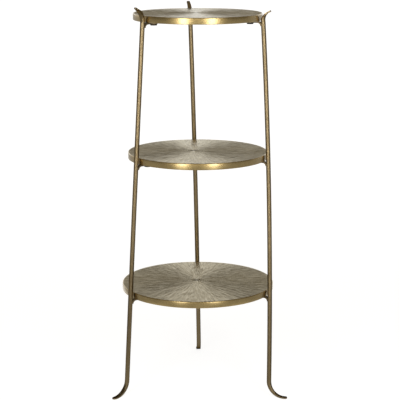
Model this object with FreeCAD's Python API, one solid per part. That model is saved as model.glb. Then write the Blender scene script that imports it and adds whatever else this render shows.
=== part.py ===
import FreeCAD, Part
import math
import os

# A three-tier round side table: three cast trays hung inside three bent rod legs.
# Millimetres, +Z up, the floor at z = 0, the viewer in front at -Y.

# Trays, one per tier
tray_radii = {"top": 166, "middle": 182, "bottom": 200}
tray_heights = {"top": 986, "middle": 627.5, "bottom": 276}
rim_height = 16.6
rim_thickness = 4
plate_thickness = 4
rim_edge_radius = 2
rim_foot_radius = 1
tray_corner_radius = 3
boss_radius = 10
boss_inset = 26
boss_drop = 0.6

# Where the trays' common axis stands, so that the origin is in the middle of the footprint
axis_x = -5
axis_y = -35

# Legs: a round rod, flattened at the foot and at the flared tip, which stands above the top tray.
# Each end is a dome that starts a small step inside the rod's skin.
tip_rises = {"left": 22.3, "right": 10.6, "back": 16}
rod_radius = 6
dome_step = 0.2
leg_gap = 2

# Directions in degrees clockwise from the back: where each leg passes each tier, and where its ends point
leg_angles = {
    "left": {
        "flare_angle": -141,
        "top_angle": -128.4,
        "middle_angle": -125,
        "bottom_angle": -123.4,
        "foot_angle": -134,
    },
    "right": {
        "flare_angle": 115,
        "top_angle": 109.2,
        "middle_angle": 107.6,
        "bottom_angle": 115.8,
        "foot_angle": 103,
    },
    "back": {
        "flare_angle": -11,
        "top_angle": -6.8,
        "middle_angle": -2.8,
        "bottom_angle": -0.3,
        "foot_angle": -3,
    },
}

# The foot turns out to lie flat on the floor
foot_bend_radius = 42
foot_straight = 2
foot_thickness = 3.6

# The tip turns out above the top tray
flare_bend_radii = {"left": 38, "right": 25, "back": 30}
flare_straights = {"left": 4, "right": 3, "back": 1}
flare_thicknesses = {"left": 4, "right": 3.6, "back": 3}
flare_base_widths = {"left": 15, "right": 15, "back": 11}
flare_tip_widths = {"left": 5, "right": 6, "back": 7.6}
flare_turn_angle = 65

# The two front flares are beaten out sideways into a thin leaf
leaf_widths = {"left": 17, "right": 15}
leaf_thickness = 2.6

# Where the flattening of a rod end begins, against the rod's own radius
slab_opening_share = 1.25

# Brackets: a bent strip from the leg to an eye under the tray's boss
bracket_thickness = 4.2
bracket_width = 10.4
bracket_bend_radius = 8
bracket_lip = 0.5
eye_radius = 10
eye_clearance = 0.3

# Bolts with a wide flat head, and their washers
bolt_radius = 3
bolt_depth = 10
bolt_head_radius = 8.5
bolt_head_height = 2.2
bolt_head_edge_radius = 0.8
socket_across_flats = 4
socket_depth = 1.4
socket_corner_count = 6
washer_radius = 9
washer_thickness = 1.2
washer_clearance = 0.2
thread_clearance = 0.1
bore_spare_depth = 1

# How near an edge must be to the place where it is looked for
match_tolerance = 0.3

full_turn_angle = 360
quarter_turn_angle = 90
tiers = tuple(tray_heights)
legs = tuple(leg_angles)
up = FreeCAD.Vector(0, 0, 1)
frame_shift = FreeCAD.Vector(axis_x, axis_y, 0)


def compass(angle):
    """Unit vector at this many degrees clockwise from the back, seen from above."""
    turn = math.radians(angle)
    return FreeCAD.Vector(math.sin(turn), math.cos(turn), 0)


def compass_angle(point):
    """Degrees clockwise from the back at which a point stands, seen from the trays' axis."""
    return math.degrees(math.atan2(point.x, point.y))


def tray_underside(tier):
    return tray_heights[tier] - rim_height


def seat_height(tier):
    """The level of the bosses' ends, a little below the rim."""
    return tray_underside(tier) - boss_drop


def tier_point(leg, tier):
    """The leg's centre where it passes the middle of a tray's rim."""
    reach = tray_radii[tier] + leg_gap + rod_radius
    height = tray_heights[tier] - rim_height / 2
    return compass(leg_angles[leg][tier + "_angle"]) * reach + up * height


def leg_point(leg, height):
    """The leg's centre at a height, on the circle through its three tier points."""
    knots = [tier_point(leg, tier) for tier in tiers]
    bow = Part.Arc(*knots).toShape().Curve
    rise = (up - bow.Axis * up.dot(bow.Axis)).normalize()
    side = knots[0] - bow.Center
    side = (side - rise * side.dot(rise)).normalize()
    climb = (height - bow.Center.z) / rise.z
    return bow.Center + rise * climb + side * math.sqrt(bow.Radius ** 2 - climb ** 2)


def arc_into(start, end, inward):
    """The arc from a start point that runs square past the inward direction at its end."""
    chord = start - end
    middle = end + inward * (chord.dot(chord) / (2 * chord.dot(inward)))
    halfway = (start - middle).normalize() + (end - middle).normalize()
    crest = middle + halfway.normalize() * (end - middle).Length
    return Part.Arc(start, crest, end).toShape()


def make_bend(start, along, aim, turn, radius):
    """The arc by which a rod end turns to its aim, with its end point, heading and inward direction."""
    outward = (aim - along * aim.dot(along)).normalize()
    middle = start + outward * radius
    halfway = middle + (along * math.sin(turn / 2) - outward * math.cos(turn / 2)) * radius
    end = middle + (along * math.sin(turn) - outward * math.cos(turn)) * radius
    heading = along * math.cos(turn) + outward * math.sin(turn)
    inward = outward * math.cos(turn) - along * math.sin(turn)
    return Part.Arc(start, halfway, end).toShape(), end, heading, inward


def make_waste(end, heading, inward, turn, bend_radius, straight, thickness):
    """What is drawn off a bent rod end: all outside a slab that closes down to a flat blade."""
    along = heading * math.cos(turn) - inward * math.sin(turn)
    outward = heading * math.sin(turn) + inward * math.cos(turn)
    start = end + (inward - outward) * bend_radius - along * rod_radius
    opening = outward * (rod_radius * slab_opening_share)
    half = inward * (thickness / 2)
    ahead = heading * (straight + 2 * rod_radius)
    slab = Part.Face(Part.Wire([
        arc_into(start + opening, end + half, inward),
        Part.LineSegment(end + half, end + half + ahead).toShape(),
        Part.LineSegment(end + half + ahead, end - half + ahead).toShape(),
        Part.LineSegment(end - half + ahead, end - half).toShape(),
        arc_into(start - opening, end - half, inward),
        Part.LineSegment(start - opening, start + opening).toShape(),
    ]))
    far = outward * (bend_radius + straight + 4 * rod_radius)
    near = outward * (4 * rod_radius)
    past = along * (bend_radius + 4 * rod_radius)
    corners = [start - near, start + far, start + far + past, start - near + past, start - near]
    across = heading.cross(inward)
    waste = Part.Face(Part.makePolygon(corners)).cut(slab).extrude(across * (4 * rod_radius))
    waste.translate(across * (-2 * rod_radius))
    return waste


def make_taper(end, heading, inward, bend_radius, straight, base_width, tip_width):
    """What is filed off a blade's two edges, so that it narrows towards its tip."""
    back = end - heading * bend_radius
    tip = end + heading * (straight + 2 * rod_radius)
    wedges = []
    for across in (heading.cross(inward), inward.cross(heading)):
        near = back + across * (base_width / 2)
        far = tip + across * (tip_width / 2)
        side = across * (2 * rod_radius)
        wedge = Part.Face(Part.makePolygon([near, far, far + side, near + side, near]))
        wedge.translate(inward * -bend_radius)
        wedges.append(wedge.extrude(inward * (2 * bend_radius)))
    return wedges


def make_leaf(start, end, heading, inward, bend_radius, straight, width):
    """A thin bent plate with a pointed outline, beaten out on both sides of a flare."""
    across = heading.cross(inward)
    ahead = heading * (straight + rod_radius)
    middle = end + inward * bend_radius
    root_way = (start - middle).normalize()
    ways = [root_way, (root_way - inward).normalize(), -inward]
    inner = [middle + way * (bend_radius - leaf_thickness / 2) for way in ways]
    outer = [middle + way * (bend_radius + leaf_thickness / 2) for way in ways]
    plate = Part.Face(Part.Wire([
        Part.Arc(*inner).toShape(),
        Part.LineSegment(inner[-1], inner[-1] + ahead).toShape(),
        Part.LineSegment(inner[-1] + ahead, outer[-1] + ahead).toShape(),
        Part.LineSegment(outer[-1] + ahead, outer[-1]).toShape(),
        Part.Arc(*reversed(outer)).toShape(),
        Part.LineSegment(outer[0], inner[0]).toShape(),
    ])).extrude(across * width)
    plate.translate(across * (-width / 2))
    root = end + heading * heading.dot(start - end)
    tip = end + ahead
    belly = (root + tip) / 2
    side = across * (width / 2)
    outline = Part.Face(Part.Wire([
        Part.Arc(root, belly + side, tip).toShape(),
        Part.Arc(tip, belly - side, root).toShape(),
    ]))
    outline.translate(inward * -bend_radius)
    return plate.common(outline.extrude(inward * (3 * bend_radius)))


def foot_start(leg):
    """Where a leg starts to bend out, so that its foot ends flat on the floor."""
    falling = leg_point(leg, foot_bend_radius / 2) - leg_point(leg, foot_bend_radius * 3 / 2)
    falling.normalize()
    lean_share = falling.dot(compass(leg_angles[leg]["foot_angle"]))
    drop_share = -falling.z * math.sqrt((1 - lean_share) / (1 + lean_share))
    return leg_point(leg, foot_thickness / 2 + foot_bend_radius * drop_share)


def flare_start(leg):
    """Where a leg starts to flare, so that its tip ends at its own rise above the top tray."""
    turn = math.radians(flare_turn_angle)
    bend_rise = flare_bend_radii[leg] * math.sin(turn)
    blade_rise = (flare_straights[leg] + rod_radius) * math.cos(turn)
    edge_rise = flare_thicknesses[leg] / 2 * math.sin(turn)
    return leg_point(leg, tray_heights["top"] + tip_rises[leg] - bend_rise - blade_rise - edge_rise)


def make_leg(leg):
    """One rod: the foot, the long bowed run past the three trays and the flared tip."""
    low = foot_start(leg)
    high = flare_start(leg)
    bow = Part.Arc(low, leg_point(leg, (low.z + high.z) / 2), high).toShape()
    falling = -bow.tangentAt(bow.FirstParameter)
    rising = bow.tangentAt(bow.LastParameter)
    foot_aim = compass(leg_angles[leg]["foot_angle"])
    flare_aim = compass(leg_angles[leg]["flare_angle"])
    foot_turn = falling.getAngle(foot_aim)
    flare_turn = math.radians(flare_turn_angle)
    foot_bend, foot_end, foot_heading, _ = make_bend(low, falling, foot_aim, foot_turn, foot_bend_radius)
    flare_bend, flare_end, flare_heading, flare_inward = make_bend(
        high, rising, flare_aim, flare_turn, flare_bend_radii[leg])
    foot_tip = foot_end + foot_heading * foot_straight
    flare_tip = flare_end + flare_heading * flare_straights[leg]
    path = Part.Wire([
        Part.LineSegment(foot_tip, foot_end).toShape(),
        foot_bend,
        bow,
        flare_bend,
        Part.LineSegment(flare_end, flare_tip).toShape(),
    ])
    disc = Part.Face(Part.Wire(Part.Circle(foot_tip, foot_heading, rod_radius).toShape()))
    dome_radius = rod_radius - dome_step
    rod = path.makePipe(disc).fuse([
        Part.makeSphere(dome_radius, foot_tip, foot_heading, 0, quarter_turn_angle),
        Part.makeSphere(dome_radius, flare_tip, flare_heading, 0, quarter_turn_angle),
    ])
    rod = rod.cut([
        make_waste(foot_end, foot_heading, up, foot_turn, foot_bend_radius, foot_straight, foot_thickness),
        make_waste(flare_end, flare_heading, flare_inward, flare_turn, flare_bend_radii[leg],
                   flare_straights[leg], flare_thicknesses[leg]),
        *make_taper(flare_end, flare_heading, flare_inward, flare_bend_radii[leg],
                    flare_straights[leg], flare_base_widths[leg], flare_tip_widths[leg]),
    ])
    if leg in leaf_widths:
        rod = rod.fuse(make_leaf(high, flare_end, flare_heading, flare_inward, flare_bend_radii[leg],
                                 flare_straights[leg], leaf_widths[leg]))
    rod.translate(up * (foot_thickness / 2 - foot_end.z))
    return rod


def bracket_angle(tier, leg):
    return compass_angle(leg_point(leg, seat_height(tier)))


def bolt_point(tier, leg):
    """Where a bolt's axis meets the end of a tray's boss."""
    return compass(bracket_angle(tier, leg)) * (tray_radii[tier] - boss_inset) + up * seat_height(tier)


def edges_at(shape, height, radius):
    """The circular edges of a shape at this height and radius."""
    found = []
    for edge in shape.Edges:
        box = edge.BoundBox
        level = abs(box.ZMin - height) < match_tolerance and box.ZLength < match_tolerance
        if level and abs(edge.Curve.Radius - radius) < match_tolerance:
            found.append(edge)
    return found


def make_tray(tier):
    """A cast disc with a turned-down rim and three tapped bosses underneath."""
    low = tray_underside(tier)
    radius = tray_radii[tier]
    inner_radius = radius - rim_thickness
    cavity_height = rim_height - plate_thickness
    base = up * low
    body = Part.makeCylinder(radius, rim_height, base)
    cavity = Part.makeCylinder(inner_radius, cavity_height, base)
    cavity = cavity.makeFillet(tray_corner_radius, edges_at(cavity, low + cavity_height, inner_radius))
    body = body.cut(cavity)
    body = body.makeFillet(rim_edge_radius, edges_at(body, tray_heights[tier], radius))
    body = body.makeFillet(rim_foot_radius, edges_at(body, low, radius) + edges_at(body, low, inner_radius))
    boss_height = boss_drop + cavity_height + plate_thickness / 2
    bore_depth = bolt_depth + bore_spare_depth
    for leg in legs:
        seat = bolt_point(tier, leg)
        body = body.fuse(Part.makeCylinder(boss_radius, boss_height, seat))
        body = body.cut(Part.makeCylinder(bolt_radius + thread_clearance, bore_depth, seat))
    return body.removeSplitter()


def make_bracket(tier, leg):
    """A strip that runs out under the rim, bends down and is coped to the leg's inner side."""
    low = seat_height(tier)
    outer_radius = bracket_bend_radius + bracket_thickness
    bend_end = leg_point(leg, low - outer_radius)
    bend_middle = math.hypot(bend_end.x, bend_end.y) - rod_radius - bracket_lip - bracket_bend_radius
    bolt_reach = tray_radii[tier] - boss_inset
    slant_share = math.cos(math.radians(quarter_turn_angle / 2))

    def at(reach, height):
        return FreeCAD.Vector(reach, -bracket_width / 2, height)

    def on_bend(radius):
        return at(bend_middle + radius * slant_share, low - outer_radius + radius * slant_share)

    arm_in = at(bolt_reach, low)
    arm_out = at(bend_middle, low)
    end_out = at(bend_middle + outer_radius, low - outer_radius)
    end_in = at(bend_middle + bracket_bend_radius, low - outer_radius)
    under_out = at(bend_middle, low - bracket_thickness)
    under_in = at(bolt_reach, low - bracket_thickness)
    outline = Part.Wire([
        Part.LineSegment(arm_in, arm_out).toShape(),
        Part.Arc(arm_out, on_bend(outer_radius), end_out).toShape(),
        Part.LineSegment(end_out, end_in).toShape(),
        Part.Arc(end_in, on_bend(bracket_bend_radius), under_out).toShape(),
        Part.LineSegment(under_out, under_in).toShape(),
        Part.LineSegment(under_in, arm_in).toShape(),
    ])
    strip = Part.Face(outline).extrude(FreeCAD.Vector(0, bracket_width, 0))
    eye_base = FreeCAD.Vector(bolt_reach, 0, low - bracket_thickness)
    strip = strip.fuse(Part.makeCylinder(eye_radius, bracket_thickness, eye_base))
    strip = strip.cut(Part.makeCylinder(bolt_radius + eye_clearance, bracket_thickness, eye_base))
    strip.rotate(FreeCAD.Vector(0, 0, 0), up, quarter_turn_angle - bracket_angle(tier, leg))
    rod_low = leg_point(leg, low - 2 * outer_radius)
    rod_line = leg_point(leg, low) - rod_low
    rod = Part.makeCylinder(rod_radius, rod_line.Length, rod_low, rod_line)
    return strip.cut(rod).removeSplitter()


def make_washer(tier, leg):
    base = bolt_point(tier, leg) - up * (bracket_thickness + washer_thickness)
    disc = Part.makeCylinder(washer_radius, washer_thickness, base)
    return disc.cut(Part.makeCylinder(bolt_radius + washer_clearance, washer_thickness, base))


def make_bolt(tier, leg):
    """A flat-headed bolt with a six-sided socket, its shank up in the boss."""
    stack = bracket_thickness + washer_thickness
    base = bolt_point(tier, leg) - up * (stack + bolt_head_height)
    head = Part.makeCylinder(bolt_head_radius, bolt_head_height, base)
    head = head.makeFillet(bolt_head_edge_radius, edges_at(head, base.z, bolt_head_radius))
    shank = Part.makeCylinder(bolt_radius, stack + bolt_depth, base + up * bolt_head_height)
    corner_reach = socket_across_flats / 2 / math.cos(math.pi / socket_corner_count)
    corners = []
    for index in range(socket_corner_count + 1):
        corners.append(base + compass(index * full_turn_angle / socket_corner_count) * corner_reach)
    socket = Part.Face(Part.makePolygon(corners)).extrude(up * socket_depth)
    return head.fuse(shank).cut(socket).removeSplitter()


def save(node, shape):
    """Write one named piece, or one group of like pieces, in the table's frame."""
    placed = shape.copy()
    placed.translate(frame_shift)
    placed.exportStep(os.path.join("parts", node + ".step"))


os.makedirs("parts", exist_ok=True)
for leg in legs:
    save("leg_" + leg, make_leg(leg))
for tier in tiers:
    save("tray_" + tier, make_tray(tier))
    for leg in legs:
        save("bracket_" + tier + "_" + leg, make_bracket(tier, leg))
    save("bolts_" + tier, Part.Compound([make_bolt(tier, leg) for leg in legs]))
    save("washers_" + tier, Part.Compound([make_washer(tier, leg) for leg in legs]))
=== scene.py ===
import math

import bpy
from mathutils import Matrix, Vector, noise


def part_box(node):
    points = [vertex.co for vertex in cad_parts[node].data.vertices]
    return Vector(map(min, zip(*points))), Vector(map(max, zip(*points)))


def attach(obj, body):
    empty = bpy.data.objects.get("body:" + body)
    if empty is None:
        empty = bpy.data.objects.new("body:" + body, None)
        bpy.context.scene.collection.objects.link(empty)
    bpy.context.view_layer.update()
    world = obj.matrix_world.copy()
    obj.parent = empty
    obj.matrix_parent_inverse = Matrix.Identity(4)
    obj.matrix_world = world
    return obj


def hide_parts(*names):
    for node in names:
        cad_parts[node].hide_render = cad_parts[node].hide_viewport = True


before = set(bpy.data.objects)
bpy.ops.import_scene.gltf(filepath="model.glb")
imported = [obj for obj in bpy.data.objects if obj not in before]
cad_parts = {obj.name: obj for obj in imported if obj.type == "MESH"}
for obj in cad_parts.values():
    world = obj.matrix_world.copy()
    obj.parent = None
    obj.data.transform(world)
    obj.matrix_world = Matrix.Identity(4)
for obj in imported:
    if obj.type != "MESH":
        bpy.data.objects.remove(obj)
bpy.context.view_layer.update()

tiers = ("top", "middle", "bottom")
legs = ("left", "right", "back")

# Trays, as in the solids
rim_height = 0.0166
rim_thickness = 0.004
plate_thickness = 0.004
rim_edge_radius = 0.002
rim_foot_radius = 0.001
tray_corner_radius = 0.003
boss_radius = 0.01
boss_edge_radius = 0.001
boss_root_radius = 0.002
bore_radius = 0.0031
bore_depth = 0.011

# Points of a tray's bolts that lie closer than this belong to one bolt
bolt_reach = 4 * boss_radius

# How finely the trays are divided
spoke_pitch = 0.0008
face_ring_count = 34
centre_ring_radii = (0.0012, 0.0026, 0.0045, 0.007)
under_ring_share = 0.5
fillet_step_count = 4
boss_side_count = 48
sharp_angle = math.radians(40)

# The zones of a tray's skin, by the number of their material
face_zone = 0
rim_zone = 1
under_zone = 2

# The hand-made ribs of the tray tops: layers that grow finer outwards, so that ribs keep about one width
rib_scales = (6, 12, 24, 48, 96)
rib_width = 0.0038
rib_width_spread = 0.7
rib_reach = 0.026
rib_slope_share = 0.22
layer_shift = 17
wave_height = 0.00025
wave_length = 0.09
edge_fade = 2 * rim_edge_radius

# The furrows between the ribs, which break off here and there
furrow_slope_share = 0.12
furrow_narrowness = 7
break_level = 0.6
break_strength = 2
break_stretch = 2

# Where the ribs meet on each tray, off its middle, and how calm the face is there
eye_offsets = {"top": (-0.004, 0.0), "middle": (-0.011, 0.006), "bottom": (-0.003, 0.008)}
calm_radius = 0.012
ribbed_radius = 0.055
calm_share = 0.5

# Tray face metal: tones and the marks that mix them
face_dull_tone = (0.34, 0.288, 0.187)
face_worn_tone = (0.52, 0.465, 0.335)
face_stain_tone = (0.3, 0.25, 0.155)
face_furrow_tone = (0.15, 0.115, 0.065)
face_eye_tone = (0.1, 0.08, 0.05)
face_edge_tint = (0.88, 0.87, 0.82)
face_roughness = (0.28, 0.4)
face_anisotropy = 0.78
streak_round_scale = 34
streak_out_scale = 26
streak_detail = 3
streak_coarseness = 0.65
worn_span = (0.36, 0.64)
scratch_round_scale = 150
scratch_out_scale = 50
scratch_detail = 2
scratch_coarseness = 0.6
scratch_span = (0.3, 0.7)
scratch_depth = 0.00025
scratch_strength = 0.6
stain_scale = 16
stain_detail = 3
stain_coarseness = 0.5
stain_span = (0.42, 0.7)
stain_share = 0.4
furrow_span = (0.15, 0.9)
furrow_share = 0.85
eye_stain_radius = 0.0135
eye_stain_share = 0.9
eye_roughness_share = 0.9

# Brass: clouds that mix two tones, and fine rubbing marks
cloud_scale = 30
cloud_detail = 4
cloud_coarseness = 0.6
cloud_span = (0.35, 0.68)
speck_scale = 420
speck_detail = 3
speck_coarseness = 0.6
speck_span = (0.3, 0.7)
speck_depth = 0.00004
speck_strength = 0.3
lacquer_roughness = 0.2

# Painted shade: the rods' colour is darkened towards the feet, standing in for shade near the floor
foot_shade_low = 0.08
foot_shade_high = 0.48
foot_shade_tone = (0.085, 0.066, 0.038)

# Black steel: a fine satin grain
steel_dark_tone = (0.006, 0.006, 0.0065)
steel_light_tone = (0.018, 0.0174, 0.0168)
steel_roughness = (0.5, 0.65)
steel_shine = 0.06
steel_grain_scale = 700
steel_grain_detail = 3
steel_grain_coarseness = 0.5
steel_tone_span = (0.35, 0.65)
steel_grain_span = (0.3, 0.7)
steel_grain_depth = 0.00005
steel_grain_strength = 0.4

# The camera, fitted to the rims and legs in the photograph
camera_distance = 3.4853
camera_height = 1.2523
camera_pitch = math.radians(12.239)
camera_focal_pixels = 1355.4
camera_side_pixels = 2.3
frame_pixels = 400
sensor_millimetres = 36

# The floor: pale, with a pool of white around the table that runs back in a wedge behind it
floor_reach = 90
floor_tone = (0.36, 0.36, 0.36)
pale_near = 1
pale_far = 2.6
pale_near_glow = 0.22
pale_far_glow = 0.36
white_glow = 0.86
white_far_glow = 0.97
white_far = 3
white_half_width = 0.52
fade_half_width = 0.82
white_spread_share = 0.15
fade_spread_share = 0.3
white_front = -0.22
white_front_end = -0.9

# The room: dim, with a bright low wall behind, a low glow in front and a soft light overhead.
# Headings run from -1 in front of the table to 1 behind it, rises from 0 at the horizon to 1 overhead.
room_level = 0.115
room_tone = (1, 0.9, 0.74)
wall_level = 1.22
wall_tone = (1, 1, 1)
wall_side_heading = -0.1
wall_full_heading = 0.9
wall_low_rise = 0.15
wall_high_rise = 0.54
front_level = 0.6
front_full_heading = -0.98
front_side_heading = -0.6
front_low_rise = 0.2
front_high_rise = 0.6
ceiling_level = 0.25
ceiling_low_rise = 0.55
ceiling_high_rise = 0.85
smallest_divisor = 0.001

# Two softboxes in front, each with a dimmer skirt below it
softbox_turn = math.radians(23.6)
softbox_distance = 1.5
softbox_width = 0.36
softbox_height = 1.14
softbox_foot = 0.47
softbox_radiance = 7.3
skirt_foot = 0.03
skirt_radiance = 1.6


def tray_axis():
    """Where the trays' common axis meets the floor."""
    low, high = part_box("tray_bottom")
    return Vector(((low.x + high.x) / 2, (low.y + high.y) / 2, 0))


axis = tray_axis()


# Node helpers

# The places of the colour sockets on a mix node, which shares its sockets' names between kinds of value
mix_colour_inputs = (6, 7)
mix_colour_output = 2


def new_material(name):
    """A material with its node tree and its main shader."""
    material = bpy.data.materials.new(name)
    material.use_nodes = True
    tree = material.node_tree
    return material, tree, tree.nodes["Principled BSDF"]


def math_node(tree, operation, first, second=None):
    """One calculation with one or two values, each a number or another node's output."""
    node = tree.nodes.new("ShaderNodeMath")
    node.operation = operation
    for socket, value in zip(node.inputs, (first, second)):
        if value is None:
            continue
        if isinstance(value, (int, float)):
            socket.default_value = value
        else:
            tree.links.new(value, socket)
    return node.outputs[0]


def map_range(tree, value, from_span, to_span):
    """A smooth step from the first end of to_span to its second, while the value crosses from_span."""
    node = tree.nodes.new("ShaderNodeMapRange")
    node.interpolation_type = "SMOOTHSTEP"
    tree.links.new(value, node.inputs["Value"])
    node.inputs["From Min"].default_value = from_span[0]
    node.inputs["From Max"].default_value = from_span[1]
    node.inputs["To Min"].default_value = to_span[0]
    node.inputs["To Max"].default_value = to_span[1]
    return node.outputs["Result"]


def mix_colour(tree, factor, first, second):
    """The first colour where the factor is 0, the second where it is 1."""
    node = tree.nodes.new("ShaderNodeMix")
    node.data_type = "RGBA"
    tree.links.new(factor, node.inputs["Factor"])
    for index, value in zip(mix_colour_inputs, (first, second)):
        if isinstance(value, tuple):
            node.inputs[index].default_value = (*value, 1)
        else:
            tree.links.new(value, node.inputs[index])
    return node.outputs[mix_colour_output]


def noise_node(tree, vector, scale, detail, coarseness):
    """Clouds from about 0 to 1."""
    node = tree.nodes.new("ShaderNodeTexNoise")
    tree.links.new(vector, node.inputs["Vector"])
    node.inputs["Scale"].default_value = scale
    node.inputs["Detail"].default_value = detail
    node.inputs["Roughness"].default_value = coarseness
    return node.outputs["Fac"]


def bump(tree, height, distance, strength):
    """A surface direction that follows a fine relief."""
    node = tree.nodes.new("ShaderNodeBump")
    node.inputs["Strength"].default_value = strength
    node.inputs["Distance"].default_value = distance
    tree.links.new(height, node.inputs["Height"])
    return node.outputs["Normal"]


def object_place(tree):
    """Where a point lies in its own piece."""
    return tree.nodes.new("ShaderNodeTexCoord").outputs["Object"]


def split_vector(tree, vector):
    """A vector's three values, by name."""
    node = tree.nodes.new("ShaderNodeSeparateXYZ")
    tree.links.new(vector, node.inputs[0])
    return node.outputs


def vector_node(tree, operation, vector):
    """One calculation with a vector."""
    node = tree.nodes.new("ShaderNodeVectorMath")
    node.operation = operation
    tree.links.new(vector, node.inputs[0])
    return node


def vector_length(tree, vector):
    return vector_node(tree, "LENGTH", vector).outputs["Value"]


def vector_direction(tree, vector):
    return vector_node(tree, "NORMALIZE", vector).outputs["Vector"]


def flat_place(tree):
    """Where a point lies in its own piece, seen from above."""
    node = vector_node(tree, "MULTIPLY", object_place(tree))
    node.inputs[1].default_value = (1, 1, 0)
    return node.outputs["Vector"]


def spoke_vector(tree, round_scale, out_scale):
    """Coordinates that change quickly round the tray and slowly outwards."""
    flat = flat_place(tree)
    turn = split_vector(tree, vector_direction(tree, flat))
    joined = tree.nodes.new("ShaderNodeCombineXYZ")
    tree.links.new(math_node(tree, "MULTIPLY", turn["X"], round_scale), joined.inputs["X"])
    tree.links.new(math_node(tree, "MULTIPLY", turn["Y"], round_scale), joined.inputs["Y"])
    tree.links.new(math_node(tree, "MULTIPLY", vector_length(tree, flat), out_scale), joined.inputs["Z"])
    return joined.outputs[0]


def round_tangent(tree):
    """The direction round the tray's eye, across the ribs."""
    place = split_vector(tree, object_place(tree))
    turned = tree.nodes.new("ShaderNodeCombineXYZ")
    tree.links.new(math_node(tree, "MULTIPLY", place["Y"], -1), turned.inputs["X"])
    tree.links.new(place["X"], turned.inputs["Y"])
    return vector_direction(tree, turned.outputs[0])


# Materials

def make_face_metal():
    """Ribbed tray top: pewter-brass, brown in the furrows, worn bright on the ridges, smoother at the eye."""
    material, tree, shader = new_material("tray_face_metal")
    streak_place = spoke_vector(tree, streak_round_scale, streak_out_scale)
    streaks = noise_node(tree, streak_place, 1, streak_detail, streak_coarseness)
    scratch_place = spoke_vector(tree, scratch_round_scale, scratch_out_scale)
    scratches = noise_node(tree, scratch_place, 1, scratch_detail, scratch_coarseness)
    stains = noise_node(tree, object_place(tree), stain_scale, stain_detail, stain_coarseness)
    depth = tree.nodes.new("ShaderNodeAttribute")
    depth.attribute_name = "furrow"
    reach = vector_length(tree, flat_place(tree))
    worn = map_range(tree, streaks, worn_span, (0, 1))
    stained = map_range(tree, stains, stain_span, (0, stain_share))
    sunk = map_range(tree, depth.outputs["Fac"], furrow_span, (0, furrow_share))
    eye = map_range(tree, reach, (0, eye_stain_radius), (eye_stain_share, 0))
    tone = mix_colour(tree, worn, face_dull_tone, face_worn_tone)
    tone = mix_colour(tree, stained, tone, face_stain_tone)
    tone = mix_colour(tree, sunk, tone, face_furrow_tone)
    tone = mix_colour(tree, eye, tone, face_eye_tone)
    tree.links.new(tone, shader.inputs["Base Color"])
    grain = map_range(tree, scratches, scratch_span, face_roughness)
    calm = map_range(tree, reach, (calm_radius, ribbed_radius), (eye_roughness_share, 1))
    tree.links.new(math_node(tree, "MULTIPLY", grain, calm), shader.inputs["Roughness"])
    shader.inputs["Metallic"].default_value = 1
    shader.inputs["Anisotropic"].default_value = face_anisotropy
    shader.inputs["Specular Tint"].default_value = (*face_edge_tint, 1)
    tree.links.new(round_tangent(tree), shader.inputs["Tangent"])
    tree.links.new(bump(tree, scratches, scratch_depth, scratch_strength), shader.inputs["Normal"])
    return material


def make_brass(name, light, dark, roughness, lacquer=0, grain=speck_strength, edge=1, foot_shade=0):
    """Satin antique brass: clouded tone and fine rubbing marks, with lacquer where asked, and painted shade
    darkening the colour towards the foot where asked.
    """
    material, tree, shader = new_material(name)
    place = object_place(tree)
    clouds = noise_node(tree, place, cloud_scale, cloud_detail, cloud_coarseness)
    specks = noise_node(tree, place, speck_scale, speck_detail, speck_coarseness)
    tone = mix_colour(tree, map_range(tree, clouds, cloud_span, (0, 1)), light, dark)
    # Painted shade: the colour darkens towards the feet, blending into a dark brown tone
    if foot_shade:
        rise = split_vector(tree, place)["Z"]
        shaded_share = map_range(tree, rise, (foot_shade_low, foot_shade_high), (foot_shade, 0))
        tone = mix_colour(tree, shaded_share, tone, foot_shade_tone)
    tree.links.new(tone, shader.inputs["Base Color"])
    tree.links.new(map_range(tree, specks, speck_span, roughness), shader.inputs["Roughness"])
    shader.inputs["Metallic"].default_value = 1
    # An edge value below 1 darkens the glancing reflection: painted shade on the flanks
    shader.inputs["Specular Tint"].default_value = (edge, edge, edge, 1)
    shader.inputs["Coat Weight"].default_value = lacquer
    shader.inputs["Coat Roughness"].default_value = lacquer_roughness
    tree.links.new(bump(tree, specks, speck_depth, grain), shader.inputs["Normal"])
    return material


def make_black_steel():
    """Blacked bolt and washer: nearly black, with a fine satin grain."""
    material, tree, shader = new_material("black_steel")
    place = object_place(tree)
    grain = noise_node(tree, place, steel_grain_scale, steel_grain_detail, steel_grain_coarseness)
    worn = map_range(tree, grain, steel_tone_span, (0, 1))
    tree.links.new(mix_colour(tree, worn, steel_dark_tone, steel_light_tone), shader.inputs["Base Color"])
    tree.links.new(map_range(tree, grain, steel_grain_span, steel_roughness), shader.inputs["Roughness"])
    shader.inputs["Specular IOR Level"].default_value = steel_shine
    tree.links.new(bump(tree, grain, steel_grain_depth, steel_grain_strength), shader.inputs["Normal"])
    return material


# Trays

def ease(value, low, high):
    """A smooth step from 0 at low to 1 at high."""
    share = min(1, max(0, (value - low) / (high - low)))
    return share * share * (3 - 2 * share)


def rib_field(turn, radius):
    """Height of the tray top above its level here, and how deep in a furrow the place is, from 0 to 1."""
    height = 0.0
    depth = 0.0
    weight_sum = 0.0
    across = math.cos(turn)
    along = math.sin(turn)
    for layer, scale in enumerate(rib_scales):
        width = radius / scale
        weight = math.exp(-(math.log(width / rib_width) / rib_width_spread) ** 2)
        spot = Vector((across * scale, along * scale, radius / rib_reach + layer * layer_shift))
        swell = noise.noise(spot)
        breaks = noise.noise(Vector((spot.y, spot.x, break_stretch * spot.z)) / break_stretch)
        whole = min(1, max(0, break_level + break_strength * breaks))
        furrow = math.exp(-(furrow_narrowness * swell) ** 2) * whole
        height += weight * width * (rib_slope_share * swell - furrow_slope_share * furrow)
        depth += weight * furrow
        weight_sum += weight
    wave = noise.noise(Vector((across * radius, along * radius, wave_length)) / wave_length)
    strength = calm_share + (1 - calm_share) * ease(radius, calm_radius, ribbed_radius)
    return strength * height / weight_sum + wave_height * wave, strength * depth / weight_sum


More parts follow.
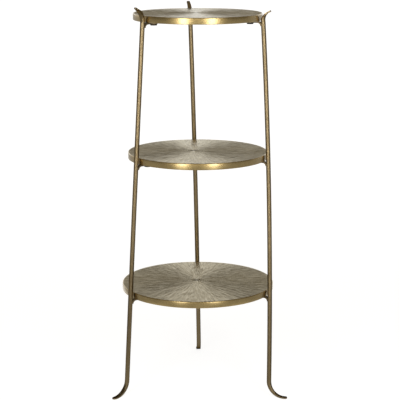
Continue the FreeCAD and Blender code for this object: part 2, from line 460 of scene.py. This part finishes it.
def quarter(centre_radius, centre_height, radius, start_angle, turn_angle):
    """Points of a fillet in a tray's profile, its two ends included."""
    points = []
    for step in range(fillet_step_count + 1):
        angle = start_angle + turn_angle * step / fillet_step_count
        points.append((centre_radius + radius * math.cos(angle), centre_height + radius * math.sin(angle)))
    return points


def rim_profile(radius, top):
    """The tray's section from the edge of its top face round the rim, and the corner of its underside."""
    right = math.pi / 2
    low = top - rim_height
    inner = radius - rim_thickness
    ceiling = top - plate_thickness
    edge = quarter(radius - rim_edge_radius, top - rim_edge_radius, rim_edge_radius, right, -right)
    outer_foot = quarter(radius - rim_foot_radius, low + rim_foot_radius, rim_foot_radius, 0, -right)
    inner_foot = quarter(inner + rim_foot_radius, low + rim_foot_radius, rim_foot_radius, -right, -right)
    corner = quarter(inner - tray_corner_radius, ceiling - tray_corner_radius, tray_corner_radius, 0, right)
    return edge + outer_foot + inner_foot, corner


def lathe(rings, side_count, faces, vertices, zones, row_zones, closed_ends):
    """Join rings of vertices, given as lists of points, into a skin."""
    first = len(vertices)
    for ring in rings:
        vertices.extend(ring)
    for row in range(len(rings) - 1):
        for side in range(side_count):
            other = (side + 1) % side_count
            start = first + row * side_count
            end = start + side_count
            faces.append((start + side, end + side, end + other, start + other))
            zones.append(row_zones[row])
    for row, point, inward in closed_ends:
        centre = len(vertices)
        vertices.append(point)
        start = first + row * side_count
        for side in range(side_count):
            other = (side + 1) % side_count
            if inward:
                faces.append((centre, start + side, start + other))
            else:
                faces.append((centre, start + other, start + side))
            zones.append(row_zones[min(row, len(row_zones) - 1)])


def bolt_centres(tier):
    """The places of a tray's bolts, read from the frame's own solids."""
    left = [vertex.co.copy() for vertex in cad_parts["bolts_" + tier].data.vertices]
    centres = []
    while left:
        seed = left[0]
        near = [point for point in left if (point - seed).length < bolt_reach]
        left = [point for point in left if (point - seed).length >= bolt_reach]
        middle_x = (min(point.x for point in near) + max(point.x for point in near)) / 2
        middle_y = (min(point.y for point in near) + max(point.y for point in near)) / 2
        centres.append(Vector((middle_x, middle_y, 0)))
    return centres


def circle_ring(centre, radius, height, side_count):
    """Points of a level circle."""
    ring = []
    for side in range(side_count):
        turn = math.tau * side / side_count
        ring.append((centre.x + radius * math.cos(turn), centre.y + radius * math.sin(turn), height))
    return ring


def make_boss(centre, seat, ceiling, vertices, faces, zones):
    """A tapped boss under a tray, rounded at its end and at its root."""
    right = math.pi / 2
    root = boss_radius + boss_root_radius
    bore_end = seat + bore_depth
    sunk = ceiling + plate_thickness / 2
    profile = [(bore_radius, bore_end), (bore_radius, seat)]
    edge = boss_radius - boss_edge_radius
    profile += quarter(edge, seat + boss_edge_radius, boss_edge_radius, -right, right)
    profile += quarter(root, ceiling - boss_root_radius, boss_root_radius, math.pi, -right)
    profile.append((root, sunk))
    rings = [circle_ring(centre, radius, height, boss_side_count) for radius, height in profile]
    ends = [(0, (centre.x, centre.y, bore_end), True), (len(rings) - 1, (centre.x, centre.y, sunk), False)]
    lathe(rings, boss_side_count, faces, vertices, zones, [under_zone] * len(rings), ends)


def face_rings(flat_radius, top, middle, side_count):
    """Rings over a tray's ribbed top, from its eye to the rim, and each point's depth in a furrow."""
    start = centre_ring_radii[-1]
    radii = list(centre_ring_radii)
    radii += [start + (flat_radius - start) * step / face_ring_count for step in range(1, face_ring_count)]
    rings = []
    depths = []
    for ring_radius in radii:
        share = ring_radius / flat_radius
        fade = min(1, (flat_radius - ring_radius) / edge_fade)
        ring = []
        for side in range(side_count):
            turn = math.tau * side / side_count
            spot = share * (middle + flat_radius * Vector((math.cos(turn), math.sin(turn), 0)))
            height, depth = rib_field(math.atan2(spot.y, spot.x), ring_radius)
            ring.append((spot.x, spot.y, top + fade * height))
            depths.append(depth)
        rings.append(ring)
    return rings, depths


def make_skin(name, vertices, faces, zones, depths, materials):
    """A smooth mesh with a material for each zone and the furrows' depth at its points."""
    mesh = bpy.data.meshes.new(name)
    mesh.from_pydata(vertices, [], faces)
    for material in materials:
        mesh.materials.append(material)
    mesh.attributes.new("furrow", "FLOAT", "POINT").data.foreach_set("value", depths)
    mesh.polygons.foreach_set("material_index", zones)
    mesh.polygons.foreach_set("use_smooth", [True] * len(faces))
    mesh.set_sharp_from_angle(angle=sharp_angle)
    return mesh


def make_tray(tier, materials):
    """One tray: ribbed top, rounded smooth rim, hollow underside with its bosses."""
    low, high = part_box("tray_" + tier)
    radius = (high.x - low.x) / 2
    top = high.z
    ceiling = top - plate_thickness
    side_count = round(math.tau * radius / spoke_pitch)
    eye = Vector((*eye_offsets[tier], 0))
    middle = -eye
    rings, depths = face_rings(radius - rim_edge_radius, top, middle, side_count)
    around, corner = rim_profile(radius, top)
    row_zones = [face_zone] * len(rings) + [rim_zone] * len(around) + [under_zone] * len(corner)
    rings += [circle_ring(middle, out, height, side_count) for out, height in around + corner]
    rings.append(circle_ring(middle, under_ring_share * radius, ceiling, side_count))
    vertices, faces, zones = [], [], []
    ends = [(0, (0, 0, top), True), (len(rings) - 1, (middle.x, middle.y, ceiling), False)]
    lathe(rings, side_count, faces, vertices, zones, row_zones, ends)
    for centre in bolt_centres(tier):
        make_boss(centre - axis - eye, low.z, ceiling, vertices, faces, zones)
    depths += [0] * (len(vertices) - len(depths))
    mesh = make_skin("tray_" + tier + "_skin", vertices, faces, zones, depths, materials)
    tray = bpy.data.objects.new("tray_" + tier + "_skin", mesh)
    tray.location = axis + eye
    bpy.context.scene.collection.objects.link(tray)
    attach(tray, "root")
    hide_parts("tray_" + tier)


def dress(node, material):
    """Give one of the frame's own solids its material."""
    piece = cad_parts[node]
    piece.data.materials.clear()
    piece.data.materials.append(material)


# Studio

def floor_glow(tree):
    """How brightly the floor glows: white around the table and in a wedge behind it, pale elsewhere."""
    place = object_place(tree)
    split = split_vector(tree, place)
    aside = math_node(tree, "ABSOLUTE", split["X"])
    behind = math_node(tree, "MAXIMUM", split["Y"], 0)
    inner = math_node(tree, "ADD", math_node(tree, "MULTIPLY", behind, white_spread_share), white_half_width)
    outer = math_node(tree, "ADD", math_node(tree, "MULTIPLY", behind, fade_spread_share), fade_half_width)
    past = math_node(tree, "SUBTRACT", aside, inner)
    faded = math_node(tree, "DIVIDE", past, math_node(tree, "SUBTRACT", outer, inner))
    across = map_range(tree, faded, (0, 1), (1, 0))
    along = map_range(tree, split["Y"], (white_front_end, white_front), (0, 1))
    white = map_range(tree, split["Y"], (0, white_far), (white_glow, white_far_glow))
    white = math_node(tree, "MULTIPLY", math_node(tree, "MULTIPLY", across, along), white)
    distance = vector_length(tree, place)
    pale = map_range(tree, distance, (pale_near, pale_far), (pale_near_glow, pale_far_glow))
    return math_node(tree, "MAXIMUM", white, pale)


def make_floor():
    """A pale floor whose glow the camera sees and the metal mirrors, but that casts no other light."""
    mesh = bpy.data.meshes.new("floor")
    mesh.from_pydata([(-floor_reach, -floor_reach, 0), (floor_reach, -floor_reach, 0),
                      (floor_reach, floor_reach, 0), (-floor_reach, floor_reach, 0)], [], [(0, 1, 2, 3)])
    floor = bpy.data.objects.new("floor", mesh)
    bpy.context.scene.collection.objects.link(floor)
    material = bpy.data.materials.new("floor_white")
    material.use_nodes = True
    tree = material.node_tree
    tree.nodes.clear()
    path = tree.nodes.new("ShaderNodeLightPath")
    seen = math_node(tree, "MAXIMUM", path.outputs["Is Camera Ray"], path.outputs["Is Glossy Ray"])
    seen = math_node(tree, "MAXIMUM", seen, path.outputs["Is Transmission Ray"])
    emission = tree.nodes.new("ShaderNodeEmission")
    tree.links.new(math_node(tree, "MULTIPLY", floor_glow(tree), seen), emission.inputs["Strength"])
    diffuse = tree.nodes.new("ShaderNodeBsdfDiffuse")
    diffuse.inputs["Color"].default_value = (*floor_tone, 1)
    both = tree.nodes.new("ShaderNodeAddShader")
    tree.links.new(emission.outputs[0], both.inputs[0])
    tree.links.new(diffuse.outputs[0], both.inputs[1])
    output = tree.nodes.new("ShaderNodeOutputMaterial")
    tree.links.new(both.outputs[0], output.inputs["Surface"])
    mesh.materials.append(material)


def make_world():
    """A dim room with a bright low wall behind the table, a low glow in front and a soft light overhead."""
    world = bpy.data.worlds.new("studio")
    bpy.context.scene.world = world
    world.use_nodes = True
    tree = world.node_tree
    background = tree.nodes["Background"]
    view = split_vector(tree, tree.nodes.new("ShaderNodeTexCoord").outputs["Generated"])
    across = math_node(tree, "POWER", view["X"], 2)
    along = math_node(tree, "POWER", view["Y"], 2)
    flat = math_node(tree, "SQRT", math_node(tree, "ADD", across, along))
    heading = math_node(tree, "DIVIDE", view["Y"], math_node(tree, "MAXIMUM", flat, smallest_divisor))
    wall = map_range(tree, heading, (wall_side_heading, wall_full_heading), (0, 1))
    wall_rise = map_range(tree, view["Z"], (wall_low_rise, wall_high_rise), (1, 0))
    wall = math_node(tree, "MULTIPLY", math_node(tree, "MULTIPLY", wall, wall_rise), wall_level)
    front = map_range(tree, heading, (front_full_heading, front_side_heading), (1, 0))
    front_rise = map_range(tree, view["Z"], (front_low_rise, front_high_rise), (front_level, 0))
    front = math_node(tree, "MULTIPLY", front, front_rise)
    ceiling = map_range(tree, view["Z"], (ceiling_low_rise, ceiling_high_rise), (0, ceiling_level))
    level = math_node(tree, "ADD", math_node(tree, "ADD", wall, front), room_level)
    level = math_node(tree, "ADD", level, ceiling)
    tree.links.new(level, background.inputs["Strength"])
    tree.links.new(mix_colour(tree, wall, room_tone, wall_tone), background.inputs["Color"])


def make_softbox(name, turn, foot, height, radiance):
    """A softbox in front of the table, at this angle from the camera's side."""
    lamp = bpy.data.lights.new(name, "AREA")
    lamp.shape = "RECTANGLE"
    lamp.size = softbox_width
    lamp.size_y = height
    lamp.energy = radiance * math.pi * softbox_width * height
    box = bpy.data.objects.new(name, lamp)
    box.location = axis + Vector((math.sin(turn) * softbox_distance, -math.cos(turn) * softbox_distance,
                                  foot + height / 2))
    box.rotation_euler = (math.pi / 2, 0, turn)
    box.visible_camera = False
    bpy.context.scene.collection.objects.link(box)


def make_camera():
    """The camera at the photograph's viewing angle."""
    camera = bpy.data.cameras.new("camera")
    camera.sensor_width = sensor_millimetres
    camera.lens = sensor_millimetres * camera_focal_pixels / frame_pixels
    holder = bpy.data.objects.new("camera", camera)
    holder.location = axis + Vector((0, -camera_distance, camera_height))
    yaw = math.atan(camera_side_pixels / camera_focal_pixels)
    holder.rotation_euler = (math.pi / 2 - camera_pitch, 0, -yaw)
    bpy.context.scene.collection.objects.link(holder)
    bpy.context.scene.camera = holder


face_metal = make_face_metal()
rim_brass = make_brass("rim_brass", light=(0.43, 0.318, 0.132), dark=(0.37, 0.27, 0.108),
                       roughness=(0.26, 0.33), lacquer=0.7)
# Undersides and bosses: dark cast patina, darkened further as painted shade under the trays.
cast_brass_painted_shade = make_brass("cast_brass_painted_shade", light=(0.1, 0.08, 0.05), dark=(0.055, 0.045, 0.03),
                        roughness=(0.45, 0.6))
# Rods: painted shade darkens their colour towards the feet.
rod_brass = make_brass("rod_brass", light=(0.255, 0.193, 0.105), dark=(0.226, 0.17, 0.092),
                       # Edge tint 0.12 paints shade on the rods' flanks.
                       roughness=(0.33, 0.37), grain=0.06, edge=0.12, foot_shade=0.62)
# Brackets: brass darkened as painted shade, for the shade under the trays.
bracket_brass_painted_shade = make_brass("bracket_brass_painted_shade", light=(0.19, 0.145, 0.082), dark=(0.13, 0.1, 0.058),
                           roughness=(0.5, 0.62))
black_steel = make_black_steel()

for tier in tiers:
    make_tray(tier, (face_metal, rim_brass, cast_brass_painted_shade))
    dress("bolts_" + tier, black_steel)
    dress("washers_" + tier, black_steel)
    for leg in legs:
        dress("bracket_" + tier + "_" + leg, bracket_brass_painted_shade)
for leg in legs:
    dress("leg_" + leg, rod_brass)

make_floor()
make_world()
for side, turn in (("left", -softbox_turn), ("right", softbox_turn)):
    make_softbox("softbox_" + side, turn, softbox_foot, softbox_height, softbox_radiance)
    make_softbox("skirt_" + side, turn, skirt_foot, softbox_foot - skirt_foot, skirt_radiance)
make_camera()
bpy.context.scene.view_settings.view_transform = "Standard"
